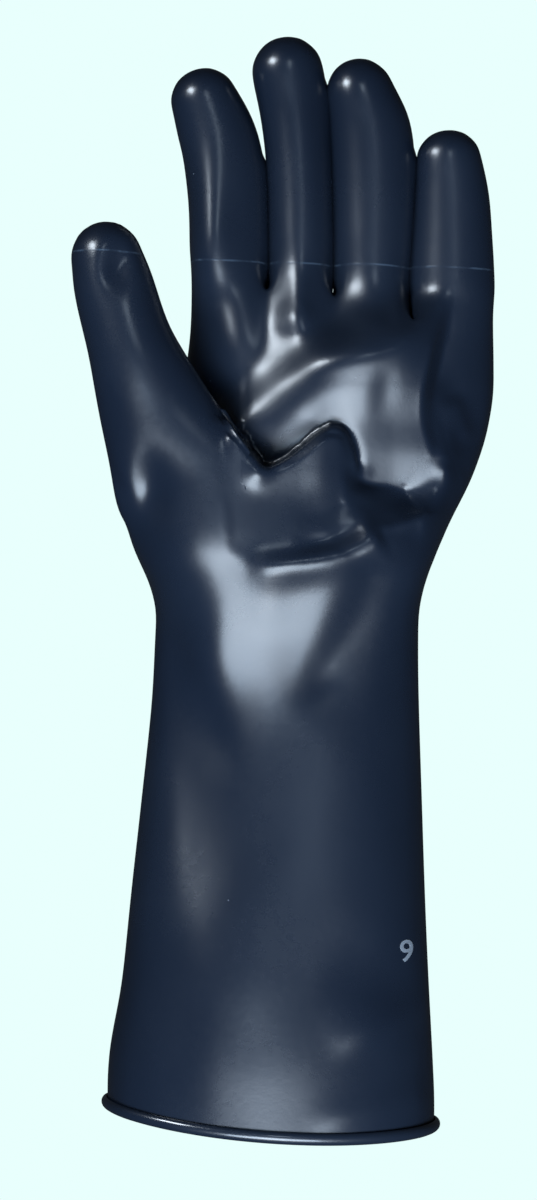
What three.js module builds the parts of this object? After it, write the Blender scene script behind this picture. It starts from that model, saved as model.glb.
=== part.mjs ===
// A left-hand chemical-resistant rubber glove with a long cuff, lying on its back with the palm up.
// Millimetres: +X towards the little finger, +Y towards the fingertips, +Z up out of the palm.
// The glove is one dipped skin, hollow to the fingertips, and its cuff ends in a rolled bead.
import * as THREE from "three";

// Driving dimensions
const WALL = 1.0; // thickness of the dipped skin
const WEB_WALL = 2.2; // thickness in the webs between the fingers
const FRONT_PER_FINGER = 4; // columns of the skin across one finger's palm side
const SIDE = 4; // columns round the edge of the hand, and across the web between two fingers
const FINGERS = 4;
const FRONT = FRONT_PER_FINGER * FINGERS;
const COLUMNS = 2 * FRONT + 2 * SIDE;
const CORNER = THREE.MathUtils.degToRad(24); // where the palm side turns into the edge of the hand
const WEB_ROUND = 3; // how far the web's middle stands out beyond its palm and back edges
const BASE_ROW = 268; // height of the last row of the hand before it is bent to the webs
const BEAD = { radius: 2.1, out: 0.5, back: 0.2, slot: 0.8, depth: 0.3, sides: 9 };
const WAIST = 0.46; // how far up the skin's section it is widest
const TO_WEBS = { across: 190, along: 200 }; // heights where the columns and rows start to turn to the webs
const DIP = { length: 36, beside: 0.3 }; // how long the dips to the webs are, and their share beside a web

// The cuff's cut end: its lowest height, and how that changes across the cuff and up its thickness.
const CUFF_END = { x: -4.7, z: 35, height: 7.6, tilt: -0.07, bend: 0.001, lean: -0.03, length: 70 };

const table = (columns, ...rows) =>
  rows.map((row) => Object.fromEntries(columns.map((name, i) => [name, row[i]])));

// Outline of the cuff, wrist and palm across the hand, at heights y along it.
// left and right are its edges, back and palm its lowest and highest point, and square its fullness.
const HAND = table(
  ["y", "left", "right", "back", "palm", "square"],
  [0, -56.4, 47.4, 2.2, 72.4, 2.1],
  [20, -55.2, 46.7, 2.4, 71.2, 2.1],
  [45, -52.0, 45.6, 3, 69.5, 2.1],
  [77, -48.9, 44.3, 4, 66.3, 2.05],
  [109, -45.4, 43.3, 5, 61.5, 1.95],
  [140, -42.2, 42.4, 6, 57, 2.05],
  [159, -41.2, 42.2, 6, 57.4, 2.2],
  [170, -40.9, 42.7, 5, 59.4, 2.35],
  [178, -43.3, 44.6, 4, 61.2, 2.5],
  [185, -46.8, 47.2, 3, 62.2, 2.6],
  [197, -51.0, 52.4, 1.2, 60, 2.45],
  [210, -45.0, 59.0, 0, 52, 2.4],
  [223, -37.5, 63.8, -0.8, 44.5, 2.4],
  [235, -33.4, 66.2, -1, 42, 2.45],
  [248, -31.4, 67.4, -0.8, 41.5, 2.5],
  [262, -30.6, 67.8, 0.5, 39.5, 2.5],
  [275, -30.4, 67.8, 2.5, 36, 2.5],
);

// Rows of the skin along the hand, closer together over the palm than over the cuff.
const ROWS = [0, 8, 19, 31, 44, 57, 71, 85, 99, 113, 127, 140, 151, 161, 169, 177, 184, 191, 198,
  205, 212, 219, 226, 233, 240, 247, 254, 261, BASE_ROW];

// Where the last row of the hand runs: its edges and the webs between the fingers.
const WEBS = table(
  ["column", "x", "y", "dip"],
  [0, -26.4, 262, 0],
  [4, -5.8, 267, 5],
  [8, 15.4, 265, 5],
  [12, 39.5, 256, 5],
  [16, 62.8, 252, 0],
);

// Fingers: sections from the base to the middle of the tip, with half sizes, and the tip's length beyond.
const DIGIT = ["x", "y", "z", "width", "depth"];
const DIGITS = [
  { name: "index", tip: 10.6, sections: table(DIGIT,
    [-17.8, 270, 19.5, 12.4, 13],
    [-17.8, 286, 19, 12.6, 12.6],
    [-18.2, 300, 18.5, 12.7, 12.3],
    [-20.1, 315, 18, 12.6, 12],
    [-22.9, 324.2, 18.2, 12, 11.4],
    [-25.6, 331, 18.8, 10.8, 10.6]) },
  { name: "middle", tip: 11.3, sections: table(DIGIT,
    [4.8, 268, 21.5, 9.7, 13],
    [5, 285, 21, 10.2, 12.5],
    [4.9, 300, 20.2, 10.3, 12.2],
    [3.9, 318, 19.6, 10.5, 11.8],
    [2.7, 330, 19.6, 11.1, 11.4],
    [0.9, 340.2, 20, 11.3, 11.2]) },
  { name: "ring", tip: 12.6, sections: table(DIGIT,
    [27.4, 265, 23.5, 11, 13],
    [28, 283, 23, 12.2, 12.4],
    [28.4, 298, 22.3, 13, 12.2],
    [28, 313, 21.8, 13.3, 12],
    [26.8, 323.5, 21.8, 12.8, 11.6],
    [24.4, 331.8, 22.2, 11.1, 11]) },
  { name: "little", tip: 9.9, sections: table(DIGIT,
    [53.2, 258, 25.5, 13.3, 12.5],
    [53.3, 274, 25, 13.3, 12],
    [53.3, 288, 24.4, 12.6, 11.6],
    [53, 301, 24.2, 11.8, 11.1],
    [52.1, 311.4, 24.6, 10.4, 10.2]) },
];
const DIGIT_RINGS = 9;

// Thumb: sections from its root to the middle of its tip. palm and back are its half depths,
// and roll lowers its outer side.
const THUMB = table(
  ["x", "y", "z", "width", "palm", "back", "roll"],
  [-32, 211, 50.3, 23.2, 12, 2.5, 14],
  [-36.3, 221, 50.3, 20.2, 12.8, 6, 10],
  [-41, 232, 50, 17.6, 12.8, 10, 5],
  [-45.2, 243.1, 50, 15.3, 13.4, 12, 0],
  [-48.8, 253.2, 49.5, 13.5, 13.2, 12.8, 0],
  [-51.7, 262.9, 49, 12.9, 12.4, 12.4, 0],
  [-54, 271.6, 48.5, 12.4, 11.9, 11.9, 0],
  [-55.7, 278.4, 48, 11.3, 11, 11, 0],
);
const THUMB_HOLE = { row: 15, rows: 4, column: COLUMNS - 2, columns: 8 }; // where the thumb leaves the hand
const THUMB_BRIDGE = 3; // rings between the hand and the thumb's first section
const THUMB_LEAVE = new THREE.Vector3(-14, 16, 16); // how the skin leaves the hand for the thumb
const THUMB_ARRIVE = 22; // how straight it runs into the thumb
const THUMB_REACH = 24; // a line of the skin that is shorter than this bends less

// Folds of the palm side: each runs from its start past its bend to its end. Ridges rise, valleys fall.
const FOLDS = table(
  ["x1", "y1", "bendX", "bendY", "x2", "y2", "rise", "width"],
  [-6, 215, 12, 241, 24, 212, -7, 4.5],
  [10, 228, 28, 249, 50, 263, 4.5, 9],
  [46, 238, 56, 216, 46, 201, 3, 4],
  [46, 201, 40, 194, 24, 194, 2.5, 4],
  [4, 190, 14, 190, 30, 197, -2, 4],
  [-36, 165, -30, 130, -24, 80, -1.5, 8],
  [-10, 188, -11, 120, -11, 55, 1.8, 12],
  [22, 60, 36, 52, 45, 42, -1.5, 7],
);

// Oval bulges and hollows of the palm side, turned anticlockwise from across the glove.
const DENTS = table(
  ["on", "x", "y", "turn", "long", "wide", "rise"],
  ["hand", -9, 208, -45, 12, 6, 8.5],
  ["hand", 11, 212, 12, 12, 8.5, 7],
  ["hand", 34, 229, -50, 14, 12, 2.5],
  ["hand", 38, 206, -5, 12, 7, -6.5],
  ["hand", -15, 230, -55, 22, 10, -5],
  ["hand", -32, 215, -30, 18, 11, -8],
  ["hand", -20, 271, 90, 10, 7, 1.5],
  ["hand", 4, 260, 90, 10, 7, 1.5],
  ["hand", 27, 256, 90, 10, 7, 1.5],
  ["thumb", -52, 274, 70, 9, 5, -1.5],
  ["thumb", -42, 205, 75, 15, 8, -2.5],
);

// The skin's outer surface. soft says how far a point may be evened out, and web how far its
// inner side lies straight behind it, as in the webs between the fingers.
const cage = { points: [], quads: [], soft: [], web: [] };

function addPoint(point, soft = 0, web = 0) {
  cage.soft.push(soft);
  cage.web.push(web);
  return cage.points.push(point) - 1;
}

const lerp = THREE.MathUtils.lerp;
const ease = (from, to, value) => THREE.MathUtils.smoothstep(value, from, to);

// A smooth curve through one column of a table, against its first column.
function through(rows, key, along = "y") {
  const slope = (i) => {
    const before = rows[Math.max(i - 1, 0)];
    const after = rows[Math.min(i + 1, rows.length - 1)];
    return (after[key] - before[key]) / (after[along] - before[along]);
  };
  return (value) => {
    let i = 0;
    while (i < rows.length - 2 && rows[i + 1][along] < value) i++;
    const span = rows[i + 1][along] - rows[i][along];
    const t = THREE.MathUtils.clamp((value - rows[i][along]) / span, 0, 1);
    const bend = t * t * (3 - 2 * t);
    return lerp(rows[i][key], rows[i + 1][key], bend)
      + slope(i) * span * t * (1 - t) ** 2 - slope(i + 1) * span * t * t * (1 - t);
  };
}

const section = Object.fromEntries(
  ["left", "right", "back", "palm", "square"].map((key) => [key, through(HAND, key)]),
);
const webX = through(WEBS, "x", "column");
const webY = through(WEBS, "y", "column");

// The palm-side column that a column of the hand lies over: back columns mirror the palm's.
const frontColumn = (column) =>
  column <= FRONT ? column
    : column < FRONT + SIDE ? FRONT
      : column <= 2 * FRONT + SIDE ? 2 * FRONT + SIDE - column : 0;

// A column's place round the hand, as an angle from the thumb edge over the palm.
function angleOf(column) {
  const front = (Math.PI - 2 * CORNER) / FRONT;
  if (column <= FRONT) return CORNER + front * column;
  const side = (2 * CORNER) / SIDE;
  if (column <= FRONT + SIDE) return Math.PI - CORNER + side * (column - FRONT);
  if (column <= 2 * FRONT + SIDE) return Math.PI + CORNER + front * (column - FRONT - SIDE);
  return 2 * Math.PI - CORNER + side * (column - 2 * FRONT - SIDE);
}

// A point of the cuff, wrist or palm, at a column round the hand and a height along it.
function handPoint(column, y) {
  const left = section.left(y);
  const half = (section.right(y) - left) / 2;
  const middle = left + half;
  const angle = angleOf(column);
  let across = -Math.cos(angle);
  if (column <= FRONT || (column >= FRONT + SIDE && column <= 2 * FRONT + SIDE)) {
    const atWebs = (webX(frontColumn(column)) - middle) / half;
    across = lerp(across, THREE.MathUtils.clamp(atWebs, -0.96, 0.96), ease(TO_WEBS.across, BASE_ROW, y));
  }
  const back = section.back(y);
  const palm = section.palm(y);
  const waist = lerp(back, palm, WAIST);
  const full = section.square(y);
  const rise = (1 - Math.abs(across) ** full) ** (1 / full);
  const up = Math.sin(angle) >= 0;
  const z = up ? waist + (palm - waist) * rise : waist - (waist - back) * rise;
  return new THREE.Vector3(middle + half * across, y, z);
}

// The cuff's end is cut a little askew, and the last row of the hand follows the webs.
function handRow(column, row) {
  const point = handPoint(column, row);
  const { height, tilt, bend, lean, length } = CUFF_END;
  const x = point.x - CUFF_END.x;
  const askew = height + tilt * x + bend * x * x + lean * (point.z - CUFF_END.z);
  point.y += askew * (1 - ease(0, length, row));
  const toWeb = ease(TO_WEBS.along, BASE_ROW, row);
  const y = row + (webY(frontColumn(column)) - BASE_ROW) * toWeb;
  return toWeb > 0 ? handPoint(column, y) : point;
}

// Between two fingers the palm and the back both dip towards the web.
function dipToWebs(point, column, row) {
  const front = frontColumn(column);
  const web = Math.round(front / FRONT_PER_FINGER);
  const off = Math.abs(front - web * FRONT_PER_FINGER);
  if (web === 0 || web === FINGERS || off > 1) return point;
  const beyond = ease(BASE_ROW - DIP.length, BASE_ROW, row);
  const up = Math.sin(angleOf(column)) >= 0 ? 1 : -1;
  point.z -= up * WEBS[web].dip * (off === 0 ? 1 : DIP.beside) * beyond * beyond;
  return point;
}

// Whether a place in the hand's grid, shrunk by the margin, lies in the thumb's opening.
function inThumbHole(row, column, margin) {
  const past = (column - THUMB_HOLE.column + COLUMNS) % COLUMNS;
  return row >= THUMB_HOLE.row + margin && row < THUMB_HOLE.row + THUMB_HOLE.rows
    && past >= margin && past < THUMB_HOLE.columns;
}

const besideThumb = (row, column) =>
  [-1, 0, 1].some((up) => [-1, 0, 1].some((over) => inThumbHole(row + up, column + over, 0)));

// How far the folds, bulges and hollows lift a limb's palm side at a place across and along the glove.
function reliefAt(x, y, limb) {
  let lift = 0;
  for (const fold of limb === "hand" ? FOLDS : []) {
    const curve = new THREE.QuadraticBezierCurve(
      new THREE.Vector2(fold.x1, fold.y1), new THREE.Vector2(fold.bendX, fold.bendY),
      new THREE.Vector2(fold.x2, fold.y2));
    const off = Math.min(...curve.getPoints(12).map((p) => Math.hypot(p.x - x, p.y - y)));
    lift += fold.rise * Math.exp(-((off / fold.width) ** 2));
  }
  for (const dent of DENTS.filter((row) => row.on === limb)) {
    const turn = THREE.MathUtils.degToRad(dent.turn);
    const along = (x - dent.x) * Math.cos(turn) + (y - dent.y) * Math.sin(turn);
    const across = (y - dent.y) * Math.cos(turn) - (x - dent.x) * Math.sin(turn);
    lift += dent.rise * Math.exp(-((along / dent.long) ** 2) - (across / dent.wide) ** 2);
  }
  return lift;
}

function makeHand() {
  const grid = ROWS.map((height, row) =>
    Array.from({ length: COLUMNS }, (_, column) => {
      if (inThumbHole(row, column, 1)) return -1;
      const point = dipToWebs(handRow(column, height), column, height);
      point.z += reliefAt(point.x, point.y, "hand") * ease(0.05, 0.5, Math.sin(angleOf(column)));
      const soft = 0.6 * ease(BASE_ROW - 20, BASE_ROW, height);
      return addPoint(point, besideThumb(row, column) ? 0.6 : soft);
    }));
  for (let row = 0; row < ROWS.length - 1; row++)
    for (let column = 0; column < COLUMNS; column++) {
      if (inThumbHole(row, column, 0)) continue;
      const next = (column + 1) % COLUMNS;
      cage.quads.push([grid[row][column], grid[row + 1][column], grid[row + 1][next], grid[row][next]]);
    }
  return grid;
}

// The saddle between two fingers, from its palm edge to its back edge.
function makeWeb(last, web) {
  const edges = [last[FRONT_PER_FINGER * web], last[2 * FRONT + SIDE - FRONT_PER_FINGER * web]];
  const [palm, back] = edges.map((i) => cage.points[i]);
  for (const i of edges) cage.web[i] = 0.5;
  return Array.from({ length: SIDE - 1 }, (_, i) => {
    const share = (i + 1) / SIDE;
    const point = palm.clone().lerp(back, share);
    point.y += WEB_ROUND * 4 * share * (1 - share);
    return addPoint(point, 0.1, 1);
  });
}

// Joins two rings of the same count with quads, the second further along the limb.
function joinRings(low, high) {
  low.forEach((_, i) => {
    const next = (i + 1) % low.length;
    cage.quads.push([low[i], high[i], high[next], low[next]]);
  });
}

// A limb's cross-section frame: side is across it, and up stands out of its palm side.
function frameAt(tangent, roll = 0) {
  const side = new THREE.Vector3().crossVectors(tangent, new THREE.Vector3(0, 0, 1)).normalize();
  side.applyAxisAngle(tangent, THREE.MathUtils.degToRad(-roll));
  return { tangent, side, up: new THREE.Vector3().crossVectors(side, tangent) };
}

const ringPoint = (centre, frame, width, depth, angle, back = depth) =>
  centre.clone()
    .addScaledVector(frame.side, width * Math.cos(angle))
    .addScaledVector(frame.up, (Math.sin(angle) > 0 ? depth : back) * Math.sin(angle));

const addRing = (centre, frame, width, depth, angles, soft = 0, back = depth) =>
  angles.map((angle) => addPoint(ringPoint(centre, frame, width, depth, angle, back), soft));

// A round tip: two shrinking rings, then a square patch of quads over the very end.
function closeTip(ring, centre, frame, width, depth, length, angles) {
  const dome = (tilt) => {
    const out = Math.cos(tilt);
    return { at: centre.clone().addScaledVector(frame.tangent, length * Math.sin(tilt)), out };
  };
  let last = ring;
  for (const degrees of [27, 52]) {
    const step = dome(THREE.MathUtils.degToRad(degrees));
    const next = addRing(step.at, frame, width * step.out, depth * step.out, angles);
    joinRings(last, next);
    last = next;
  }
  const cells = angles.length / 4;
  const edgeTilt = Math.PI / 2 - THREE.MathUtils.degToRad(52);
  const patch = [];
  for (let i = 0; i <= cells; i++) {
    patch.push([]);
    for (let j = 0; j <= cells; j++) {
      const p = (2 * i) / cells - 1;
      const q = (2 * j) / cells - 1;
      const share = Math.max(Math.abs(p), Math.abs(q));
      // The ring's corners are a quarter of its points apart.
      const around = share === 0 ? 0
        : q === -share ? (p / share + 1) / 2 : p === share ? 1 + (q / share + 1) / 2
          : q === share ? 2 + (1 - p / share) / 2 : 3 + (1 - q / share) / 2;
      const place = (around * cells) % angles.length;
      if (share > 0.999) {
        patch[i].push(last[Math.round(place) % angles.length]);
        continue;
      }
      const tilt = share * edgeTilt;
      const turn = lerp(angles[Math.floor(place)], angles[Math.floor(place)] - 2 * Math.PI / angles.length,
        place - Math.floor(place));
      const at = centre.clone().addScaledVector(frame.tangent, length * Math.cos(tilt));
      patch[i].push(addPoint(
        ringPoint(at, frame, width * Math.sin(tilt), depth * Math.sin(tilt), turn)));
    }
  }
  for (let i = 0; i < cells; i++)
    for (let j = 0; j < cells; j++)
      cage.quads.push([patch[i][j], patch[i][j + 1], patch[i + 1][j + 1], patch[i + 1][j]]);
}

function makeFinger(digit, index, last, webs) {
  const firstFront = FRONT_PER_FINGER * index;
  const firstBack = 2 * FRONT + SIDE - firstFront - FRONT_PER_FINGER;
  const run = (from, count) => Array.from({ length: count }, (_, i) => last[(from + i) % COLUMNS]);
  const right = index === FINGERS - 1 ? run(FRONT + 1, SIDE - 1) : webs[index];
  const left = index === 0 ? run(2 * FRONT + SIDE + 1, SIDE - 1) : [...webs[index - 1]].reverse();
  let ring = [...run(firstFront, FRONT_PER_FINGER + 1), ...right,
    ...run(firstBack, FRONT_PER_FINGER + 1), ...left];
  const step = (2 * Math.PI) / ring.length;
  const angles = ring.map((_, i) => Math.PI * 0.75 - step * i);
  const at = Object.fromEntries(DIGIT.map((key) => [key, through(digit.sections, key)]));
  const start = digit.sections[0].y;
  const end = digit.sections[digit.sections.length - 1].y;
  const centreAt = (y) => new THREE.Vector3(at.x(y), y, at.z(y));
  let frame;
  for (let k = 1; k <= DIGIT_RINGS; k++) {
    const y = lerp(start, end, k / DIGIT_RINGS);
    const tangent = new THREE.Vector3().subVectors(centreAt(y), centreAt(y - 2)).normalize();
    frame = frameAt(tangent);
    const next = addRing(centreAt(y), frame, at.width(y), at.depth(y), angles, k === 1 ? 0.5 : 0);
    joinRings(ring, next);
    ring = next;
  }
  closeTip(ring, centreAt(end), frame, at.width(end), at.depth(end), digit.tip, angles);
}

// The edge of the thumb's opening in the hand, starting at its wrist end on the edge of the hand.
function thumbOpening(grid) {
  const { row, rows, column, columns } = THUMB_HOLE;
  const at = (up, over) => grid[row + up][(column + over) % COLUMNS];
  const count = (length) => Array.from({ length }, (_, i) => i);
  return [
    ...count(columns).map((i) => at(0, i)),
    ...count(rows).map((i) => at(i, columns)),
    ...count(columns).map((i) => at(rows, columns - i)),
    ...count(rows).map((i) => at(rows - i, 0)),
  ];
}

function makeThumb(grid) {
  const opening = thumbOpening(grid);
  opening.forEach((i) => { cage.soft[i] = 1; });
  const step = (2 * Math.PI) / opening.length;
  const angles = opening.map((_, i) => Math.PI - step * i);
  const curve = new THREE.CatmullRomCurve3(THUMB.map((s) => new THREE.Vector3(s.x, s.y, s.z)));
  const frames = THUMB.map((s, i) => frameAt(curve.getTangent(i / (THUMB.length - 1)), s.roll));
  const rings = THUMB.map((s, i) =>
    addRing(new THREE.Vector3(s.x, s.y, s.z), frames[i], s.width, s.palm, angles, 0, s.back));

  // Between the hand and the first section each line of the skin is a smooth curve.
  const arrive = frames[0].tangent.clone().multiplyScalar(THUMB_ARRIVE);
  let last = opening;
  for (let k = 1; k <= THUMB_BRIDGE; k++) {
    const t = k / (THUMB_BRIDGE + 1);
    const ring = opening.map((_, i) => {
      const from = cage.points[opening[i]];
      const to = cage.points[rings[0][i]];
      const reach = Math.min(1, from.distanceTo(to) / THUMB_REACH);
      const bend = t * t * (3 - 2 * t);
      return addPoint(from.clone().lerp(to, bend)
        .addScaledVector(THUMB_LEAVE, reach * t * (1 - t) ** 2)
        .addScaledVector(arrive, -reach * t * t * (1 - t)), 0.9);
    });
    joinRings(last, ring);
    last = ring;
  }
  for (const ring of rings) {
    joinRings(last, ring);
    last = ring;
  }
  const end = THUMB[THUMB.length - 1];
  closeTip(last, new THREE.Vector3(end.x, end.y, end.z), frames[frames.length - 1],
    end.width, end.palm, end.width * 1.06, angles);
}

// Evens out the skin where limbs join the hand, as far as each point is marked soft.
function relax(rounds) {
  const near = cage.points.map(() => new Set());
  for (const quad of cage.quads)
    quad.forEach((a, i) => {
      near[a].add(quad[(i + 1) % 4]);
      near[quad[(i + 1) % 4]].add(a);
    });
  for (let round = 0; round < rounds; round++) {
    const middles = near.map((set) => {
      const sum = new THREE.Vector3();
      for (const i of set) sum.add(cage.points[i]);
      return sum.divideScalar(set.size);
    });
    cage.points.forEach((point, i) => point.lerp(middles[i], 0.5 * cage.soft[i]));
  }
}

const grid = makeHand();
const last = grid[ROWS.length - 1];
const webs = [1, 2, 3].map((web) => makeWeb(last, web));
DIGITS.forEach((digit, i) => makeFinger(digit, i, last, webs));
const thumbFrom = cage.points.length;
makeThumb(grid);
relax(5);
for (const point of cage.points) point.z = Math.max(point.z, 0);

// Outward unit normals of the cage, from the quads round each point.
function cageNormals() {
  const normals = cage.points.map(() => new THREE.Vector3());
  for (const quad of cage.quads) {
    const [a, b, c, d] = quad.map((i) => cage.points[i]);
    const face = new THREE.Vector3().crossVectors(
      new THREE.Vector3().subVectors(c, a), new THREE.Vector3().subVectors(d, b)).negate();
    quad.forEach((i) => normals[i].add(face));
  }
  return normals.map((n) => n.normalize());
}

const facing = cageNormals();
cage.points.forEach((point, i) => {
  if (i < thumbFrom) return;
  const lift = reliefAt(point.x, point.y, "thumb");
  point.addScaledVector(facing[i], lift * ease(0.1, 0.6, facing[i].z));
});

// The skin: the outer surface, the same surface one wall further in, and the cut edge at the cuff.
function makeSkin() {
  const normals = cageNormals();
  const count = cage.points.length;
  const inner = cage.points.map((point, i) => {
    const moved = point.clone().addScaledVector(normals[i], -WALL * (1 - cage.web[i]));
    moved.y -= WEB_WALL * cage.web[i];
    return moved;
  });
  const triangles = [];
  const addQuad = (a, b, c, d) => triangles.push(a, b, c, a, c, d);
  for (const [a, b, c, d] of cage.quads) {
    addQuad(d, c, b, a);
    addQuad(count + b, count + c, count + d, count + a);
  }
  grid[0].forEach((a, column) => {
    const b = grid[0][(column + 1) % COLUMNS];
    addQuad(b, a, count + a, count + b);
  });
  const geometry = new THREE.BufferGeometry();
  geometry.setFromPoints([...cage.points, ...inner]);
  geometry.setIndex(triangles);
  return geometry;
}

// The rolled bead's cross-section, from the middle of the skin's cut edge: a runs along the cuff
// and out of it, and r outwards.
function beadSection() {
  const { radius, out, back, slot, depth, sides } = BEAD;
  const reach = (r) => -back - Math.sqrt(radius ** 2 - (r - out) ** 2);
  const start = Math.atan2(slot - out, reach(slot) + back);
  const end = Math.atan2(-slot - out, reach(-slot) + back) + 2 * Math.PI;
  const sweep = end - start - 2 * Math.PI;
  const round = Array.from({ length: sides + 1 }, (_, i) => {
    const turn = start + (sweep * i) / sides;
    return { a: radius * Math.cos(turn) - back, r: radius * Math.sin(turn) + out };
  });
  return [...round, { a: depth, r: -slot }, { a: depth, r: slot }];
}

function makeBead() {
  const profile = beadSection();
  const normals = cageNormals();
  const points = [];
  const triangles = [];
  grid[0].forEach((edge, column) => {
    const centre = cage.points[edge].clone().addScaledVector(normals[edge], -WALL / 2);
    const along = new THREE.Vector3()
      .subVectors(cage.points[edge], cage.points[grid[1][column]]).normalize();
    for (const { a, r } of profile) {
      const point = centre.clone().addScaledVector(along, a).addScaledVector(normals[edge], r);
      point.z = Math.max(point.z, 0);
      points.push(point);
    }
  });
  const n = profile.length;
  for (let column = 0; column < COLUMNS; column++)
    for (let i = 0; i < n; i++) {
      const next = ((column + 1) % COLUMNS) * n;
      const [a, b] = [column * n + i, column * n + (i + 1) % n];
      const [c, d] = [next + (i + 1) % n, next + i];
      triangles.push(a, b, c, a, c, d);
    }
  const geometry = new THREE.BufferGeometry();
  geometry.setFromPoints(points);
  geometry.setIndex(triangles);
  return geometry;
}

const glove = new THREE.Group();
function addPart(name, geometry, color, roughness) {
  const material = new THREE.MeshStandardMaterial({ color, roughness, metalness: 0 });
  const mesh = new THREE.Mesh(geometry, material);
  mesh.name = name;
  glove.add(mesh);
}
addPart("glove_skin", makeSkin(), 0x10131a, 0.35);
addPart("cuff_bead", makeBead(), 0x0b0d12, 0.2);

// The origin is under the middle of the glove, on the surface that it lies on.
const box = new THREE.Box3().setFromObject(glove);
glove.position.set(-(box.min.x + box.max.x) / 2, -(box.min.y + box.max.y) / 2, -box.min.z);

export default glove;
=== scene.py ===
import math
from collections import namedtuple

import bmesh
import bpy
import numpy as np
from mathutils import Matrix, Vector
from mathutils.bvhtree import BVHTree


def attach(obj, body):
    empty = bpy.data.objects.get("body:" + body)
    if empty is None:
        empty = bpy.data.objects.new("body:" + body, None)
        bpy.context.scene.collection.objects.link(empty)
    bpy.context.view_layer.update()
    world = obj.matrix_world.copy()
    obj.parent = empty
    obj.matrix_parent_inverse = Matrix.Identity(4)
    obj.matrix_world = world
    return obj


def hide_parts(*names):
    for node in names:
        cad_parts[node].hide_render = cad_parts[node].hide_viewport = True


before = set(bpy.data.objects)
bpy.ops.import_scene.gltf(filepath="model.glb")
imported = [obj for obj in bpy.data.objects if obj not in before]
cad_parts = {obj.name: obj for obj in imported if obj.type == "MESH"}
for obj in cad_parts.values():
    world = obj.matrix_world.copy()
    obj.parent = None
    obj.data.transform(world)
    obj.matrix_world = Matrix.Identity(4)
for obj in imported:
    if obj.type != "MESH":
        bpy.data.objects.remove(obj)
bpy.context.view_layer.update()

scene = bpy.context.scene
MM = 0.001

# Places on the glove are given as spots of the camera's view, counted from its upper left corner.
# EYE is where the camera stands, in millimetres of the frame. A spot takes PER_SPOT millimetres at
# HAND_HEIGHT. Sizes and heights of folds are in millimetres.
VIEW_SIZE = (537, 1200)
MIDDLE = (VIEW_SIZE[0] / 2, VIEW_SIZE[1] / 2)
EYE = (-5.151, -5.491, 1500.0)
HAND_HEIGHT = 30.0
PER_SPOT = 0.3167


# Small helpers.
def nearness(height):
    """How much larger a thing at a height looks than one at HAND_HEIGHT."""
    return (EYE[2] - HAND_HEIGHT) / (EYE[2] - height)


def to_view(points):
    """The spots of the view that points of the frame are seen at."""
    near = nearness(points[:, 2])
    across = MIDDLE[0] + (points[:, 0] - EYE[0]) * near / PER_SPOT
    down = MIDDLE[1] - (points[:, 1] - EYE[1]) * near / PER_SPOT
    return np.stack([across, down], 1)


def from_view(across, down, height):
    """The point of the frame, at a height, under a spot of the view."""
    near = nearness(height)
    x = (across - MIDDLE[0]) * PER_SPOT / near + EYE[0]
    y = (MIDDLE[1] - down) * PER_SPOT / near + EYE[1]
    return x, y


def ease(start, end, value):
    """From 0 at start to 1 at end, with level ends."""
    t = np.clip((value - start) / (end - start), 0, 1)
    return t * t * (3 - 2 * t)


def new_piece(name, mesh):
    piece = bpy.data.objects.new(name, mesh)
    scene.collection.objects.link(piece)
    return piece


def baked(piece):
    """The piece's mesh with its modifiers worked in."""
    depsgraph = bpy.context.evaluated_depsgraph_get()
    mesh = bpy.data.meshes.new_from_object(piece.evaluated_get(depsgraph))
    piece.modifiers.clear()
    old = piece.data
    piece.data = mesh
    bpy.data.meshes.remove(old)
    return mesh


def subdivide(piece, levels):
    curve = piece.modifiers.new("smooth", "SUBSURF")
    curve.levels = levels
    curve.render_levels = levels
    baked(piece)


def shade_smooth(mesh):
    for face in mesh.polygons:
        face.use_smooth = True


def merged_copy(node):
    """The node's shape with its loose triangles joined."""
    shape = bmesh.new()
    shape.from_mesh(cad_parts[node].data)
    bmesh.ops.remove_doubles(shape, verts=shape.verts, dist=0.01 * MM)
    return shape


def to_quads(shape):
    most = math.radians(70)
    bmesh.ops.join_triangles(
        shape,
        faces=shape.faces,
        angle_face_threshold=most,
        angle_shape_threshold=most,
    )


# The skin's outer face, from the CAD solid.
def outer_wall():
    """The solid's outer face alone, in quads, open at the cuff's mouth."""
    shape = merged_copy("glove_skin")
    lowest = min(v.co.y for v in shape.verts)
    rim = [
        f for f in shape.faces
        if f.normal.y < -0.8 and f.calc_center_median().y < lowest + 20 * MM
    ]
    bmesh.ops.delete(shape, geom=rim, context="FACES")
    start = max(shape.verts, key=lambda v: v.co.x)
    outer = {start}
    edge = [start]
    while edge:
        vert = edge.pop()
        for link in vert.link_edges:
            other = link.other_vert(vert)
            if other not in outer:
                outer.add(other)
                edge.append(other)
    bmesh.ops.delete(shape, geom=[v for v in shape.verts if v not in outer], context="VERTS")
    to_quads(shape)
    mesh = bpy.data.meshes.new("glove_skin_outer")
    shape.to_mesh(mesh)
    shape.free()
    return mesh


def rings(mesh):
    """For each corner, the corners that its edges lead to and those across its faces; none on a border."""
    shape = bmesh.new()
    shape.from_mesh(mesh)
    shape.verts.ensure_lookup_table()
    beside_it, across_it = [], []
    for v in shape.verts:
        if v.is_boundary or len(v.link_edges) < 3:
            beside_it.append([])
            across_it.append([])
            continue
        joined = [e.other_vert(v).index for e in v.link_edges]
        opposite = []
        for f in v.link_faces:
            opposite += [w.index for w in f.verts if w is not v and w.index not in joined]
        beside_it.append(joined)
        across_it.append(opposite)
    shape.free()
    return beside_it, across_it


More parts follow.
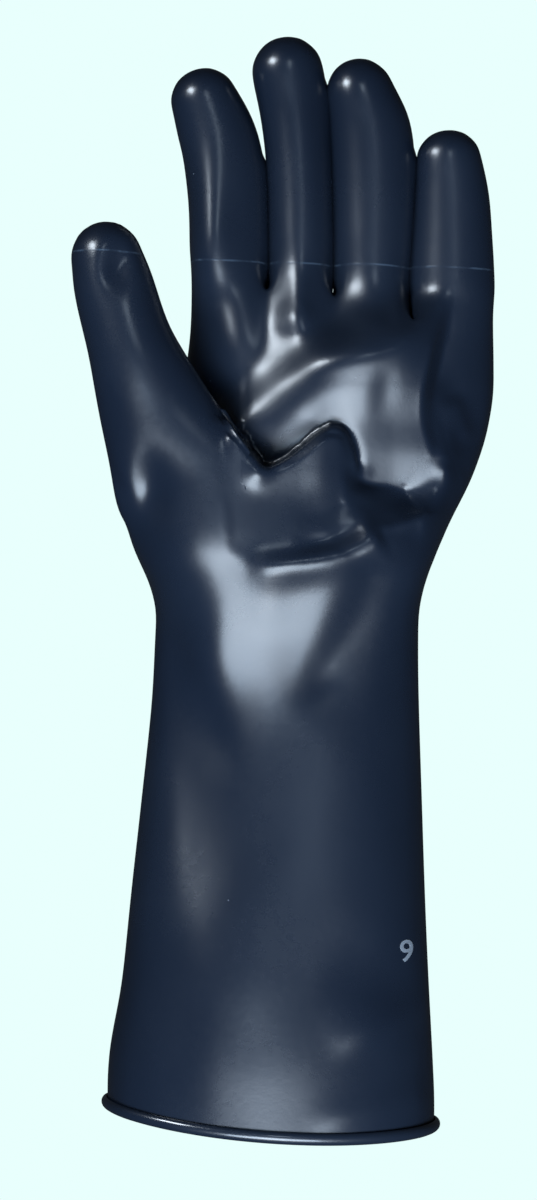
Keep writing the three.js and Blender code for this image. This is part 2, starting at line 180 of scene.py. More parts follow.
def tighten(mesh, rounds=3, pull=0.85):
    """Moves the corners of the coarse mesh so that the subdivided face runs through where they were."""
    count = len(mesh.vertices)
    place = np.zeros(count * 3)
    mesh.vertices.foreach_get("co", place)
    place = place.reshape(-1, 3)
    beside_it, across_it = rings(mesh)
    cage = place.copy()
    for _ in range(rounds):
        limit = cage.copy()
        for i in range(count):
            n = len(beside_it[i])
            if n < 3:
                continue
            total = n * n + 4 * n + len(across_it[i])
            pulled = n * n * cage[i] + 4 * cage[beside_it[i]].sum(0) + cage[across_it[i]].sum(0)
            limit[i] = pulled / total
        cage += pull * (place - limit)
    mesh.vertices.foreach_set("co", cage.reshape(-1))
    mesh.update()


# Reading and moving the skin's points, in millimetres.
def skin_points(mesh):
    count = len(mesh.vertices)
    points = np.zeros(count * 3)
    normals = np.zeros(count * 3)
    mesh.vertices.foreach_get("co", points)
    mesh.vertices.foreach_get("normal", normals)
    return points.reshape(-1, 3) / MM, normals.reshape(-1, 3)


def set_points(mesh, points):
    mesh.vertices.foreach_set("co", (points * MM).reshape(-1))
    mesh.update()


# The view is cut into square cells of a few spots to find the highest point in each.
SIGHT_CELL = 3
SIGHT_CELLS = (181, 401)


def in_sight(points, normals, view, depth=7):
    """Which points face up and lie within a depth of the highest point seen at their spot."""
    cell = (view / SIGHT_CELL).astype(int)
    cell = np.clip(cell, 0, [SIGHT_CELLS[0] - 1, SIGHT_CELLS[1] - 1])
    top = np.full(SIGHT_CELLS, -1.0)
    np.maximum.at(top, (cell[:, 0], cell[:, 1]), points[:, 2])
    return (points[:, 2] > top[cell[:, 0], cell[:, 1]] - depth) & (normals[:, 2] > -0.2)


Area = namedtuple("Area", "left right top bottom")
DETAILED_PALM = Area(205, 470, 275, 580)
FOLDED_PALM = Area(232, 462, 300, 572)
FINGER_BASES = Area(200, 450, 240, 345)


def within(view, area):
    across = (view[:, 0] > area.left) & (view[:, 0] < area.right)
    return across & (view[:, 1] > area.top) & (view[:, 1] < area.bottom)


def refine_palm(mesh):
    """Twice as many faces where the palm's small folds are."""
    points, normals = skin_points(mesh)
    view = to_view(points)
    inside = within(view, DETAILED_PALM) & in_sight(points, normals, view)
    shape = bmesh.new()
    shape.from_mesh(mesh)
    shape.verts.ensure_lookup_table()
    edges = [e for e in shape.edges if inside[e.verts[0].index] and inside[e.verts[1].index]]
    bmesh.ops.subdivide_edges(shape, edges=edges, cuts=1, use_grid_fill=True, smooth=1.0)
    shape.to_mesh(mesh)
    shape.free()


def even_out(mesh, chosen, rounds):
    shape = bmesh.new()
    shape.from_mesh(mesh)
    shape.verts.ensure_lookup_table()
    verts = [shape.verts[i] for i in np.where(chosen)[0]]
    for _ in range(rounds):
        bmesh.ops.smooth_vert(
            shape, verts=verts, factor=0.5, use_axis_x=True, use_axis_y=True, use_axis_z=True,
        )
    shape.to_mesh(mesh)
    shape.free()


# Lines and tables over the view.
def smooth_line(spots, steps=12):
    """A smooth line through spots, as many short steps."""
    spots = np.array(spots, float)
    ends = np.vstack([2 * spots[0] - spots[1], spots, 2 * spots[-1] - spots[-2]])
    line = []
    for i in range(1, len(ends) - 2):
        p0, p1, p2, p3 = ends[i - 1:i + 3]
        for t in np.linspace(0, 1, steps, endpoint=False):
            bend = (2 * p0 - 5 * p1 + 4 * p2 - p3) * t * t
            twist = (3 * p1 - p0 - 3 * p2 + p3) * t ** 3
            line.append(0.5 * (2 * p1 + (p2 - p0) * t + bend + twist))
    line.append(spots[-1])
    return np.array(line)


def beside(view, spots):
    """Distance from a line in millimetres, 1 on its left as seen or -1 on its right, and share of its way."""
    line = smooth_line(spots)
    starts = line[:-1]
    run = line[1:] - starts
    length = np.maximum((run ** 2).sum(1), 1e-9)
    total = np.concatenate([[0], np.cumsum(np.sqrt(length))])
    best = np.full(len(view), 1e9)
    side = np.zeros(len(view))
    share = np.zeros(len(view))
    for i in range(len(starts)):
        off = view - starts[i]
        t = np.clip((off @ run[i]) / length[i], 0, 1)
        gap = off - t[:, None] * run[i]
        dist = (gap ** 2).sum(1)
        closer = dist < best
        best[closer] = dist[closer]
        turn = run[i][0] * off[:, 1] - run[i][1] * off[:, 0]
        side[closer] = np.where(turn[closer] < 0, 1.0, -1.0)
        share[closer] = (total[i] + t[closer] * np.sqrt(length[i])) / total[-1]
    return np.sqrt(best) * PER_SPOT, side, share


def spot_shares(spots):
    """How far along its line each spot is."""
    spots = np.array(spots, float)
    steps = np.sqrt(((spots[1:] - spots[:-1]) ** 2).sum(1))
    way = np.concatenate([[0], np.cumsum(steps)])
    return way / way[-1]


Table = namedtuple("Table", "left top column row heights")


def from_table(table, view):
    """Smooth heights between the numbers of a table that lies over the view."""
    heights = np.pad(np.array(table.heights, float), 1, mode="reflect", reflect_type="odd")
    rows, columns = heights.shape
    across = np.clip((view[:, 0] - table.left) / table.column, 0, columns - 3.001) + 1
    down = np.clip((view[:, 1] - table.top) / table.row, 0, rows - 3.001) + 1
    i, j = down.astype(int), across.astype(int)

    def weights(t):
        return [
            (-t + 2 * t * t - t ** 3) / 2,
            (2 - 5 * t * t + 3 * t ** 3) / 2,
            (t + 4 * t * t - 3 * t ** 3) / 2,
            (-t * t + t ** 3) / 2,
        ]

    value = np.zeros(len(across))
    for a, row_weight in enumerate(weights(down - i)):
        for b, column_weight in enumerate(weights(across - j)):
            value += row_weight * column_weight * heights[i + a - 1, j + b - 1]
    return value


# The fingers lie against each other along these lines, from the tips to the webs.
TOUCHING = [
    [(266, 156), (268, 187), (269, 247), (269, 300)],
    [(331, 84), (331, 133), (333, 200), (334, 247), (333, 305)],
    [(418, 152), (416, 180), (413, 227), (410, 273), (409, 322)],
]
# A flank is looked for from FLANK_REACH short of the line to FLANK_OVER past it, and is pushed to OVERLAP
# past it, but by MOST_PUSH at most. Rows across it are counted in spots.
FLANK_REACH = 7.0
FLANK_OVER = 1.2
OVERLAP = 0.22
MOST_PUSH = 2.4
PUSH_HEIGHT = 6.5
ROW_STEP = 3.0
ROW_REACH = 5


def flank_rows(points, view, flank, outward, rows):
    """How far each row of a finger's flank is short of its neighbour, and the height of its edge."""
    needed, level = [], []
    for row in rows:
        here = np.where(flank & (abs(view[:, 1] - row) < ROW_REACH))[0]
        if len(here) < 3:
            needed.append(0.0)
            level.append(20.0)
            continue
        edge = here[np.argsort(outward[here])[-3:]]
        needed.append(min(max(OVERLAP - outward[edge].mean(), 0.0), MOST_PUSH))
        level.append(points[edge, 2].mean())
    needed = np.convolve(np.pad(needed, 2, mode="edge"), [0.1, 0.2, 0.4, 0.2, 0.1], "valid")
    level = np.convolve(np.pad(level, 2, mode="edge"), [0.2] * 5, "valid")
    return needed, level


def close_fingers(mesh):
    """Widens the fingers' sides a little, so that each finger lies against the next."""
    for spots in TOUCHING:
        points, normals = skin_points(mesh)
        view = to_view(points)
        spots = np.array(spots, float)
        tip, web = spots[0][1], spots[-1][1]
        line = np.interp(view[:, 1], spots[:, 1], spots[:, 0])
        off = (view[:, 0] - line) * PER_SPOT
        rows = np.arange(tip - 6, web + 6, ROW_STEP)
        ends = ease(tip - 4, tip + 10, view[:, 1]) * ease(-6, 4, web - view[:, 1])
        for way in (1, -1):
            outward = off * way
            flank = (normals[:, 0] * way > 0.15) & (outward < FLANK_OVER) & (outward > -FLANK_REACH)
            needed, level = flank_rows(points, view, flank, outward, rows)
            push = np.interp(view[:, 1], rows, needed)
            height = np.interp(view[:, 1], rows, level) - 1.5 * way
            near = ease(-6.5, -0.5, outward) * np.exp(-((points[:, 2] - height) / PUSH_HEIGHT) ** 2)
            points[:, 0] += way * push * near * flank * ends
        set_points(mesh, points)


# The crease under the thumb, with the height of the palm along it.
CREASE = [
    (236, 431), (253, 453), (266, 467), (286, 459), (303, 446), (318, 434),
    (334, 427), (346, 433), (353, 448), (357, 466), (356, 484), (350, 500),
]
CREASE_FLOOR = [43.5, 43.8, 43.4, 46.0, 48.0, 49.6, 50.2, 50.0, 49.2, 48.2, 49.5, 52.0]
CREASE_RIGHT = 357
# The bulge between the crease and the fingers: its crest, the border on its right and its lower lip.
CREST = [
    (246, 420), (264, 407), (284, 393), (304, 380), (328, 371),
    (355, 366), (385, 362), (405, 352), (421, 338), (436, 317),
]
BULGE_EDGE = [
    (446, 300), (440, 330), (431, 372), (426, 398), (427, 425),
    (435, 451), (443, 470), (444, 486), (438, 520),
]
LIP = [(180, 524), (310, 508), (352, 478), (370, 482), (391, 486), (415, 486), (450, 478)]
CREST_FALL = 12.5
BULGE = Table(left=245, top=315, column=38, row=35, heights=[
    (35.5, 39.0, 45.5, 51.0, 50.0, 42.5),
    (37.5, 43.5, 52.0, 54.6, 52.8, 46.8),
    (40.5, 47.6, 52.6, 53.5, 51.2, 48.0),
    (44.5, 48.6, 50.8, 51.0, 48.6, 46.2),
    (43.8, 46.6, 48.6, 49.2, 47.2, 45.4),
    (41.8, 44.2, 46.0, 46.6, 44.4, 43.0),
])
# The heel between the crease and the wrist, and its height close to the crease from left to right.
HEEL = Table(left=212, top=440, column=28, row=30, heights=[
    (62.4, 62.9, 62.4, 61.3, 59.9, 55.5, 48.5),
    (63.1, 62.9, 61.9, 60.7, 59.3, 55.0, 48.8),
    (63.5, 63.0, 61.6, 60.2, 58.6, 55.6, 51.5),
    (63.6, 63.2, 62.3, 61.2, 60.1, 58.2, 56.0),
    (62.6, 63.1, 63.3, 62.8, 61.9, 60.7, 58.8),
])
HEEL_EDGE = {
    222: 62.5, 236: 62.6, 266: 61.9, 300: 60.0, 322: 58.6,
    336: 57.2, 350: 55.0, 366: 51.5, 385: 48.0, 400: 46.0,
}
# The heel hangs over the crease, so its points are looked for this far below what is seen.
HEEL_DEPTH = 24
HEEL_REACH = 32


def raise_bulge(mesh):
    """Raises the bulge: short and steep towards the fingers, long and gentle towards the wrist."""
    points, normals = skin_points(mesh)
    view = to_view(points)
    wanted = from_table(BULGE, view)
    crest, crest_side, _ = beside(view, CREST)
    part = np.where(crest_side > 0, np.exp(-(crest / CREST_FALL) ** 2), 1.0)
    lip, lip_side, _ = beside(view, LIP)
    part *= ease(-2.5, 1.2, lip * lip_side)
    edge, edge_side, _ = beside(view, BULGE_EDGE)
    part *= ease(-2.6, 1.8, -edge * edge_side)
    part *= ease(284, 342, view[:, 1]) * ease(496, 484, view[:, 1])
    part *= ease(205, 252, view[:, 0])
    _, crease_side, _ = beside(view, CREASE)
    below_crease = (crease_side < 0) & (view[:, 0] < CREASE_RIGHT) & (view[:, 1] > 420)
    part *= np.where(below_crease, 0.0, 1.0)
    lift = (wanted - points[:, 2]) * part
    points[:, 2] += lift * in_sight(points, normals, view)
    set_points(mesh, points)


def fold_heel(mesh):
    """Brings the heel up to the crease under the thumb and the palm down to it."""
    points, normals = skin_points(mesh)
    view = to_view(points)
    seen = in_sight(points, normals, view, HEEL_DEPTH)
    dist, side, share = beside(view, CREASE)
    edge = np.interp(view[:, 0], list(HEEL_EDGE), list(HEEL_EDGE.values()))
    top = edge - 0.05 * dist - 0.5 * np.exp(-(dist / 2.5) ** 2)
    height = points[:, 2].copy()
    short = top - height
    raised = 0.5 * (short + np.sqrt(short * short + 3.0))
    heel = height + raised * ease(27, 8, dist) * ease(222, 242, view[:, 0])
    floor = np.interp(share, spot_shares(CREASE), CREASE_FLOOR)
    palm = height + (floor + 0.20 * dist - height) * np.exp(-(dist / 3.0) ** 2)
    wanted = heel + (palm - heel) * ease(-0.4, 0.7, dist * side)
    hold = 1 - ease(462, 494, view[:, 1]) * ease(332, 352, view[:, 0])
    reach = seen & (view[:, 0] > 222) & (dist < HEEL_REACH)
    points[reach, 2] += ((wanted - height) * hold)[reach]
    set_points(mesh, points)


def even_heel(mesh):
    """Gives the heel its own height, from just below the crease to the wrist."""
    points, normals = skin_points(mesh)
    view = to_view(points)
    seen = in_sight(points, normals, view, HEEL_DEPTH)
    wanted = from_table(HEEL, view)
    dist, side, _ = beside(view, CREASE)
    below = (side < 0) & (view[:, 0] < CREASE_RIGHT) & (view[:, 1] > 436)
    part = np.where(below, ease(1.0, 3.0, dist), 0.0)
    part *= ease(216, 238, view[:, 0]) * ease(357, 338, view[:, 0]) * ease(562, 540, view[:, 1])
    points[:, 2] += (wanted - points[:, 2]) * part * seen
    set_points(mesh, points)


# Long folds: spots, rise (a valley where it is negative), widths on the left and right, fades at the ends.
Fold = namedtuple("Fold", "spots rise left right fade_in fade_out")
THIN_RIDGE = [
    (434, 372), (430, 392), (431, 416), (440, 446), (447, 470),
    (443, 492), (430, 509), (411, 521), (388, 527), (370, 525),
]
WRIST_STRIP = [(382, 529), (365, 538), (345, 547), (320, 556), (295, 563), (262, 567), (225, 556)]
STRIP_VALLEY = [(372, 527), (348, 536), (322, 543), (290, 546)]
HEEL_VALLEY = [(376, 502), (348, 510), (320, 518), (292, 523)]
RIGHT_RIDGE = [(452, 392), (459, 414), (471, 446)]
WRIST_VALLEY = [(384, 556), (358, 620), (332, 668), (300, 722)]
LEFT_CREASE = [(146, 596), (168, 640), (200, 699), (242, 790)]
CUFF_FOLD = [(322, 1052), (360, 1036), (398, 1018), (436, 1000)]
RIM_FOLD = [(300, 1128), (360, 1114), (432, 1094)]
FOLDS = [
    Fold(THIN_RIDGE, 1.0, 1.8, 1.8, 0.15, 0.1),
    Fold(WRIST_STRIP, 2.6, 6.5, 3.5, 0.08, 0.45),
    Fold(STRIP_VALLEY, -1.8, 3.0, 2.8, 0.2, 0.4),
    Fold(HEEL_VALLEY, -0.8, 4.2, 4.0, 0.3, 0.4),
    Fold(RIGHT_RIDGE, 1.3, 2.6, 3.8, 0.3, 0.3),
    Fold(WRIST_VALLEY, -2.2, 9.0, 7.0, 0.15, 0.3),
    Fold(LEFT_CREASE, -1.4, 4.5, 7.0, 0.2, 0.35),
    Fold(CUFF_FOLD, 1.9, 7.0, 5.0, 0.45, 0.0),
    Fold(RIM_FOLD, 1.0, 5.0, 4.0, 0.4, 0.1),
]
# Oval bulges, or hollows where rise is negative: middle spot, turn in degrees, half sizes and rise.
Mound = namedtuple("Mound", "across down turn long wide rise")
MOUNDS = [
    # Below the bulge's lip, on the bulge, and below the lowest point of the crease.
    Mound(404, 504, 4, 12, 4.0, -1.6),
    Mound(312, 420, 30, 6.5, 4.5, -0.7),
    Mound(384, 392, 80, 8, 3.5, -0.35),
    Mound(259, 472, 70, 4.5, 4.0, 1.6),
    # The dent in the thumb's tip and the one in its base, each in a swelling.
    Mound(118, 266, 75, 9.5, 6.6, 1.8),
    Mound(118, 266, 75, 7.0, 4.6, -3.2),
    Mound(150, 486, 100, 15, 9, 1.0),
    Mound(150, 486, 100, 10.5, 5.5, -2.4),
    # The bases of the middle, ring and index fingers.
    Mound(299, 300, 88, 11, 3.6, 1.3),
    Mound(296, 318, 10, 6.0, 4.2, 1.6),
    Mound(371, 322, -6, 7.0, 4.5, 1.8),
    Mound(398, 312, 80, 4.0, 1.8, 1.2),
    Mound(236, 340, 80, 15, 9, 1.5),
    # The wrist's fall towards the cuff and its left side.
    Mound(252, 785, 90, 40, 22, -4.0),
    Mound(180, 562, 60, 14, 11, 2.2),
    Mound(207, 640, 90, 17, 10, 3.2),
    # The cuff's slow waves, and the base of the little finger.
    Mound(256, 955, 90, 46, 30, -1.2),
    Mound(431, 314, 0, 8, 5, 1.6),
    Mound(203, 960, 90, 40, 10, 1.2),
    Mound(250, 1058, 90, 16, 26, 0.9),
    Mound(250, 838, 90, 28, 11, -1.6),
]
# The swelling at the base of the index finger, long towards the tip and short towards the palm.
Swelling = namedtuple("Swelling", "across down wide up below rise")
INDEX_BASE = Swelling(207, 256, 8.0, 30.0, 10.5, 4.6)


def fold_lift(view, fold):
    dist, side, share = beside(view, fold.spots)
    width = np.where(side > 0, fold.left, fold.right)
    lift = fold.rise * np.exp(-(dist / width) ** 2)
    if fold.fade_in:
        lift *= ease(0, fold.fade_in, share)
    if fold.fade_out:
        lift *= ease(0, fold.fade_out, 1 - share)
    return lift


def mound_lift(view, mound):
    """An oval, turned anticlockwise as seen from across the glove."""
    angle = math.radians(mound.turn)
    dx = (view[:, 0] - mound.across) * PER_SPOT
    dy = (mound.down - view[:, 1]) * PER_SPOT
    along = dx * math.cos(angle) + dy * math.sin(angle)
    aside = dy * math.cos(angle) - dx * math.sin(angle)
    return mound.rise * np.exp(-(along / mound.long) ** 2 - (aside / mound.wide) ** 2)


def swelling_lift(view, base):
    dx = (view[:, 0] - base.across) * PER_SPOT
    dy = (base.down - view[:, 1]) * PER_SPOT
    tall = np.where(dy > 0, base.up, base.below)
    return base.rise * np.exp(-(dx / base.wide) ** 2 - (dy / tall) ** 2)


def sculpt(mesh):
    """Adds the folds, mounds and hollows of the palm side."""
    points, normals = skin_points(mesh)
    view = to_view(points)
    lift = np.zeros(len(points))
    for fold in FOLDS:
        lift += fold_lift(view, fold)
    for mound in MOUNDS:
        lift += mound_lift(view, mound)
    lift += swelling_lift(view, INDEX_BASE)
    points[:, 2] += lift * in_sight(points, normals, view) * ease(0.05, 0.4, normals[:, 2])
    set_points(mesh, points)


# Round places that are evened out more: middle spot, radius in spots and rounds.
Evened = namedtuple("Evened", "across down reach rounds")
EVENED = [
    Evened(292, 316, 14, 12),
    Evened(434, 484, 28, 24),
    Evened(352, 530, 26, 12),
    Evened(431, 298, 22, 14),
]
CREST_BAND = 3.0


def even_palm(mesh):
    """Softens what the folds left rough, most where several of them meet."""
    points, normals = skin_points(mesh)
    view = to_view(points)
    seen = in_sight(points, normals, view)
    even_out(mesh, within(view, FOLDED_PALM) & seen, 1)
    even_out(mesh, within(view, FINGER_BASES) & seen & (normals[:, 2] > 0.5), 3)
    for place in EVENED:
        near = np.hypot(view[:, 0] - place.across, view[:, 1] - place.down) < place.reach
        even_out(mesh, near & seen, place.rounds)
    crest, _, _ = beside(view, CREST)
    even_out(mesh, (crest < CREST_BAND) & seen, 5)


def make_skin():
    mesh = outer_wall()
    tighten(mesh)
    skin = new_piece("skin", mesh)
    subdivide(skin, 2)
    mesh = skin.data
    close_fingers(mesh)
    refine_palm(mesh)
    raise_bulge(mesh)
    fold_heel(mesh)
    even_heel(mesh)
    sculpt(mesh)
    even_palm(mesh)
    shade_smooth(mesh)
    return skin


WALL = 1.2


def add_inside(skin):
    """The inner face, one wall in from the outer one, and the edge between them at the mouth."""
    wall = skin.modifiers.new("wall", "SOLIDIFY")
    wall.thickness = WALL * MM
    wall.offset = -1
    wall.use_rim = True
    shade_smooth(baked(skin))


# The rolled bead and the raised size number.
def make_bead():
    shape = merged_copy("cuff_bead")
    to_quads(shape)
    mesh = bpy.data.meshes.new("cuff_roll")
    shape.to_mesh(mesh)
    shape.free()
    roll = new_piece("cuff_roll", mesh)
    subdivide(roll, 2)
    shade_smooth(roll.data)
    return roll


MARK_SPOT = (406, 950)
MARK_HEIGHT = 44.0
MARK_SIZE = 9.5
MARK_RISE = 0.20
MARK_EDGE = 0.12
ABOVE_ALL = 200.0


def number_mesh():
    text = bpy.data.curves.new("size_number", "FONT")
    text.body = "9"
    text.size = MARK_SIZE * MM
    text.align_x = "CENTER"
    text.align_y = "CENTER"
    text.resolution_u = 6
    text.extrude = MARK_RISE * MM
    text.bevel_depth = MARK_EDGE * MM
    text.bevel_resolution = 2
    flat = bpy.data.objects.new("size_number", text)
    scene.collection.objects.link(flat)
    depsgraph = bpy.context.evaluated_depsgraph_get()
    mesh = bpy.data.meshes.new_from_object(flat.evaluated_get(depsgraph))
    bpy.data.objects.remove(flat)
    return mesh


def make_mark(skin):
    """The raised size number on the cuff, laid on the skin."""
    mesh = number_mesh()
    shape = bmesh.new()
    shape.from_mesh(mesh)
    bmesh.ops.remove_doubles(shape, verts=shape.verts, dist=0.001 * MM)
    bmesh.ops.triangulate(shape, faces=[f for f in shape.faces if len(f.verts) > 4])
    ground = BVHTree.FromPolygons(
        [v.co.copy() for v in skin.data.vertices],
        [tuple(f.vertices) for f in skin.data.polygons],
    )
    x, y = from_view(*MARK_SPOT, MARK_HEIGHT)
    for vert in shape.verts:
        place = Vector((vert.co.x + x * MM, vert.co.y + y * MM, ABOVE_ALL * MM))
        hit = ground.ray_cast(place, Vector((0, 0, -1)))[0]
        vert.co = Vector((place.x, place.y, hit.z + vert.co.z))
    bmesh.ops.recalc_face_normals(shape, faces=shape.faces)
    shape.to_mesh(mesh)
    shape.free()
    shade_smooth(mesh)
    return new_piece("size_number", mesh)


# Materials.
class Nodes:
    """Short ways to add nodes to a tree and join them."""

    def __init__(self, tree):
        self.tree = tree

    def add(self, kind, **settings):
        node = self.tree.nodes.new(kind)
        for name, value in settings.items():
            setattr(node, name, value)
        return node

    def join(self, out, into):
        self.tree.links.new(out, into)

    def maths(self, operation, first, second=None, clamp=False):
        node = self.add("ShaderNodeMath", operation=operation, use_clamp=clamp)
        for i, value in enumerate((first, second)):
            if value is None:
                continue
            if isinstance(value, (int, float)):
                node.inputs[i].default_value = value
            else:
                self.join(value, node.inputs[i])
        return node.outputs[0]

    def noise(self, where, scale, detail=2.0, rough=0.5):
        node = self.add("ShaderNodeTexNoise")
        node.inputs["Scale"].default_value = scale
        node.inputs["Detail"].default_value = detail
        node.inputs["Roughness"].default_value = rough
        self.join(where, node.inputs["Vector"])
        return node.outputs["Fac"]

    def span(self, value, low, high, to_low, to_high):
        """A smooth step: to_low up to low, and to_high from high on."""
        node = self.add("ShaderNodeMapRange", interpolation_type="SMOOTHSTEP")
        self.join(value, node.inputs["Value"])
        for name, number in (("From Min", low), ("From Max", high), ("To Min", to_low), ("To Max", to_high)):
            node.inputs[name].default_value = number
        return node.outputs["Result"]

    def blend(self, share, first, second):
        """A mix of two colours, each a socket or plain numbers."""
        node = self.add("ShaderNodeMix", data_type="RGBA")
        self.join(share, node.inputs["Factor"])
        for name, colour in (("A", first), ("B", second)):
            if isinstance(colour, tuple):
                node.inputs[name].default_value = colour
            else:
                self.join(colour, node.inputs[name])
        return node.outputs["Result"]


def new_group(name, sockets):
    group = bpy.data.node_groups.new(name, "ShaderNodeTree")
    for socket, direction, kind in sockets:
        group.interface.new_socket(socket, in_out=direction, socket_type=kind)
    return group


# Colours of the rubber, its dust and the line of its second dip. Heights and distances are in metres.
DARK_RUBBER = (0.0022, 0.0040, 0.0085, 1)
PALE_RUBBER = (0.0048, 0.0085, 0.0165, 1)
DUST = (0.12, 0.15, 0.19, 1)
DIP_COLOUR = (0.045, 0.070, 0.105, 1)
CHALKED = (0.26, 0.31, 0.37, 1)
DIP_LEVEL = 0.1012
DIP_SLANT = 0.032
DIP_WAVER = 0.0012
PALM_SIDE = 0.018


def dust_mask(tree, where):
    """Small specks, in some places only."""
    shape = tree.add("ShaderNodeTexVoronoi")
    shape.inputs["Scale"].default_value = 95.0
    shape.inputs["Randomness"].default_value = 1.0
    tree.join(where, shape.inputs["Vector"])
    speck = tree.maths("SUBTRACT", 1.0, tree.span(shape.outputs["Distance"], 0.030, 0.012, 1.0, 0.0))
    few = tree.maths("GREATER_THAN", tree.noise(where, 61.0, 0.0), 0.60)
    return tree.maths("MULTIPLY", speck, few)


def dip_mask(tree, where):
    """The thin, broken line across the fingers and thumb where the second dip ended."""
    axes = tree.add("ShaderNodeSeparateXYZ")
    tree.join(where, axes.inputs[0])
    slant = tree.maths("MULTIPLY", axes.outputs["X"], DIP_SLANT)
    level = tree.maths("ADD", axes.outputs["Y"], slant)
    waver = tree.maths("SUBTRACT", tree.noise(where, 60.0, 1.0), 0.5)
    level = tree.maths("ADD", level, tree.maths("MULTIPLY", waver, DIP_WAVER))
    off = tree.maths("ABSOLUTE", tree.maths("SUBTRACT", level, DIP_LEVEL))
    thin = tree.span(off, 0.00012, 0.00042, 1.0, 0.0)
    broken = tree.span(tree.noise(where, 170.0, 2.0), 0.40, 0.60, 0.15, 1.0)
    front = tree.maths("GREATER_THAN", axes.outputs["Z"], PALM_SIDE)
    return tree.maths("MULTIPLY", tree.maths("MULTIPLY", thin, broken), front)


def rubber_group():
    """Colour, roughness and height of dipped rubber: clouding, grain, dust and the line of the second dip."""
    group = new_group("dipped rubber", [
        ("Colour", "OUTPUT", "NodeSocketColor"),
        ("Roughness", "OUTPUT", "NodeSocketFloat"),
        ("Height", "OUTPUT", "NodeSocketFloat"),
    ])
    tree = Nodes(group)
    where = tree.add("ShaderNodeTexCoord").outputs["Object"]
    out = tree.add("NodeGroupOutput")
    cloud = tree.noise(where, 14.0, 3.0)
    grain = tree.noise(where, 1500.0, 2.0, 0.6)
    cloth = tree.noise(where, 420.0, 3.0, 0.65)
    dust = dust_mask(tree, where)
    dip = dip_mask(tree, where)

    colour = tree.blend(cloud, DARK_RUBBER, PALE_RUBBER)
    colour = tree.blend(tree.maths("MULTIPLY", dust, 0.55), colour, DUST)
    colour = tree.blend(tree.maths("MULTIPLY", dip, 0.30), colour, DIP_COLOUR)
    tree.join(colour, out.inputs["Colour"])

    rough = tree.span(cloud, 0.30, 0.70, 0.215, 0.280)
    rough = tree.maths("ADD", rough, tree.maths("MULTIPLY", cloth, 0.05))
    rough = tree.maths("ADD", rough, tree.maths("MULTIPLY", dust, 0.3), clamp=True)
    tree.join(rough, out.inputs["Roughness"])

    height = tree.maths("ADD", tree.maths("MULTIPLY", grain, 0.35), tree.maths("MULTIPLY", cloth, 1.0))
    height = tree.maths("ADD", height, tree.maths("MULTIPLY", dip, 1.2))
    height = tree.maths("ADD", height, tree.maths("MULTIPLY", dust, 1.5))
    tree.join(height, out.inputs["Height"])
    return group


def rubber(name, group, bump, depth, coat, chalk=0.0):
    """Rubber with its own relief and coat, and rubbed as pale as chalk says."""
    material = bpy.data.materials.new(name)
    material.use_nodes = True
    tree = Nodes(material.node_tree)
    shader = material.node_tree.nodes["Principled BSDF"]
    look = tree.add("ShaderNodeGroup", node_tree=group)
    colour = look.outputs["Colour"]
    if chalk:
        pale = tree.add("ShaderNodeMix", data_type="RGBA")
        pale.inputs["Factor"].default_value = chalk
        pale.inputs["B"].default_value = CHALKED
        tree.join(colour, pale.inputs["A"])
        colour = pale.outputs["Result"]
    tree.join(colour, shader.inputs["Base Color"])
    tree.join(look.outputs["Roughness"], shader.inputs["Roughness"])
    relief = tree.add("ShaderNodeBump")
    relief.inputs["Strength"].default_value = bump
    relief.inputs["Distance"].default_value = depth * MM
    tree.join(look.outputs["Height"], relief.inputs["Height"])
    tree.join(relief.outputs["Normal"], shader.inputs["Normal"])
    shader.inputs["IOR"].default_value = 1.52
    shader.inputs["Coat Weight"].default_value = coat
    shader.inputs["Coat Roughness"].default_value = 0.08
    return material


def wear(piece, material):
    piece.data.materials.clear()
    piece.data.materials.append(material)


rubber_look = rubber_group()
skin_rubber = rubber("skin rubber", rubber_look, bump=0.35, depth=0.06, coat=0.0)
bead_rubber = rubber("bead rubber", rubber_look, bump=0.15, depth=0.04, coat=0.6)
mark_rubber = rubber("mark rubber", rubber_look, bump=0.35, depth=0.06, coat=0.0, chalk=0.35)

skin = make_skin()
mark = make_mark(skin)
add_inside(skin)
wear(skin, skin_rubber)
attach(skin, "root")
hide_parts("glove_skin")

wear(mark, mark_rubber)
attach(mark, "root")

roll = make_bead()
wear(roll, bead_rubber)
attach(roll, "root")
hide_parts("cuff_bead")


# Floor, light and camera. Their sizes and places are in metres.
FLOOR_HALF = 9.0
FLOOR_LEVEL = -0.0005
FLOOR_COLOUR = (0.812, 1.0, 0.982, 1)


def make_floor():
    """A pale floor that shines by itself, so that it stays even and casts no light on the glove."""
    mesh = bpy.data.meshes.new("floor")
    shape = bmesh.new()
    bmesh.ops.create_grid(shape, x_segments=1, y_segments=1, size=FLOOR_HALF)
    bmesh.ops.translate(shape, verts=shape.verts, vec=(0, 0, FLOOR_LEVEL))
    shape.to_mesh(mesh)
    shape.free()
    floor = new_piece("floor", mesh)
    material = bpy.data.materials.new("pale floor")
    material.use_nodes = True
    shader = material.node_tree.nodes["Principled BSDF"]
    shader.inputs["Base Color"].default_value = (0.0, 0.0, 0.0, 1)
    shader.inputs["Roughness"].default_value = 1.0
    shader.inputs["Specular IOR Level"].default_value = 0.0
    shader.inputs["Emission Color"].default_value = FLOOR_COLOUR
    shader.inputs["Emission Strength"].default_value = 1.0
    mesh.materials.append(material)
    floor.visible_glossy = False
    floor.visible_diffuse = False


Softbox = namedtuple("Softbox", "name place aim wide tall watts colour")
LOW_PLACE = (0.0, -0.77, 1.45)
PALM = (0, 0.0, 0.03)
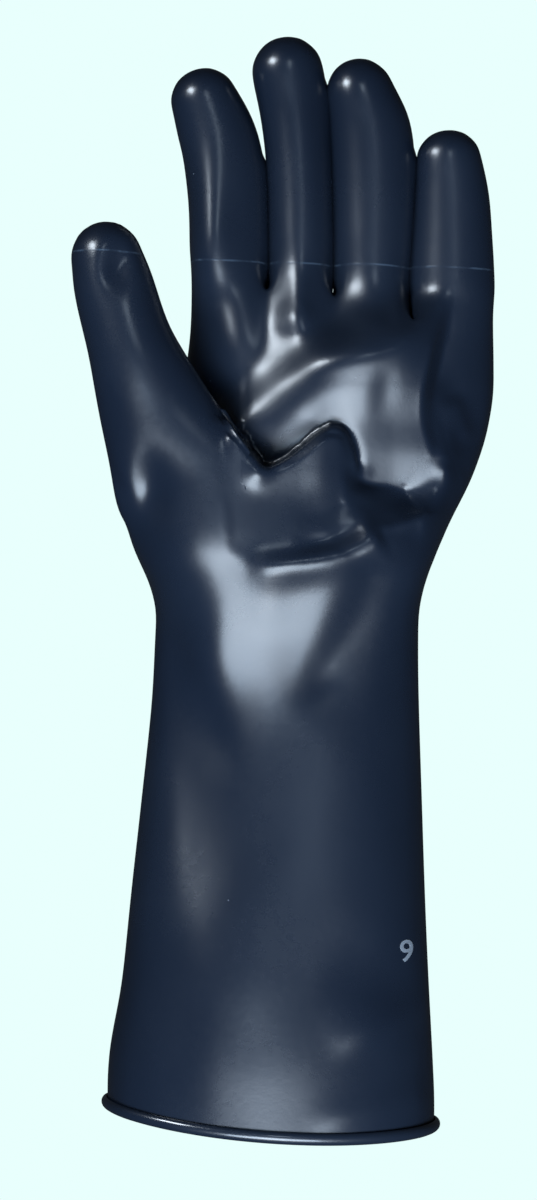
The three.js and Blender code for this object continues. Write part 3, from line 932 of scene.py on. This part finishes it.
# Three nested boxes shine from the cuff's side, so that their reflection fades towards its edge.
SOFTBOXES = [
    Softbox("left softbox", (-0.92, 0.80, 0.67), (0, 0.10, 0.03), 0.34, 0.50, 17, (0.80, 0.90, 1.0)),
    Softbox("top softbox", (0.16, 0.78, 1.50), PALM, 0.24, 0.30, 1.5, (0.70, 0.85, 1.0)),
    Softbox("low softbox", LOW_PLACE, PALM, 1.16, 0.76, 22, (0.56, 0.76, 1.0)),
    Softbox("low softbox middle", LOW_PLACE, PALM, 0.90, 0.58, 48, (0.82, 0.91, 1.0)),
    Softbox("low softbox heart", LOW_PLACE, PALM, 0.56, 0.36, 30, (0.90, 0.95, 1.0)),
    Softbox("middle softbox", (-0.06, -0.46, 2.1), (-0.01, 0.0, 0.0), 0.42, 0.58, 2.2, (0.50, 0.72, 1.0)),
    Softbox("ceiling", (0.0, -0.37, 2.4), (0, -0.37, 0.0), 1.3, 1.26, 1.15, (0.30, 0.60, 1.0)),
    Softbox("far ceiling", (0.0, 0.68, 2.4), (0, 0.68, 0.0), 1.3, 0.8, 0.45, (0.36, 0.60, 1.0)),
]


def hang(box):
    data = bpy.data.lights.new(box.name, "AREA")
    data.shape = "RECTANGLE"
    data.size = box.wide
    data.size_y = box.tall
    data.energy = box.watts
    data.color = box.colour
    light = bpy.data.objects.new(box.name, data)
    scene.collection.objects.link(light)
    light.location = box.place
    light.rotation_euler = (Vector(box.aim) - Vector(box.place)).to_track_quat("-Z", "Y").to_euler()


def dim_world():
    world = bpy.data.worlds.new("studio")
    scene.world = world
    world.use_nodes = True
    world.node_tree.nodes["Background"].inputs["Color"].default_value = (0.75, 0.87, 1.0, 1)
    world.node_tree.nodes["Background"].inputs["Strength"].default_value = 0.03


SENSOR = 36
LENS = 139.25


def place_camera():
    """Straight above the glove, at EYE."""
    data = bpy.data.cameras.new("camera")
    data.sensor_fit = "AUTO"
    data.sensor_width = SENSOR
    data.lens = LENS
    data.clip_end = 20
    camera = bpy.data.objects.new("camera", data)
    camera.location = [side * MM for side in EYE]
    camera.rotation_euler = (0, 0, 0)
    scene.collection.objects.link(camera)
    scene.camera = camera
    scene.view_settings.view_transform = "Standard"


make_floor()
for softbox in SOFTBOXES:
    hang(softbox)
dim_world()
place_camera()
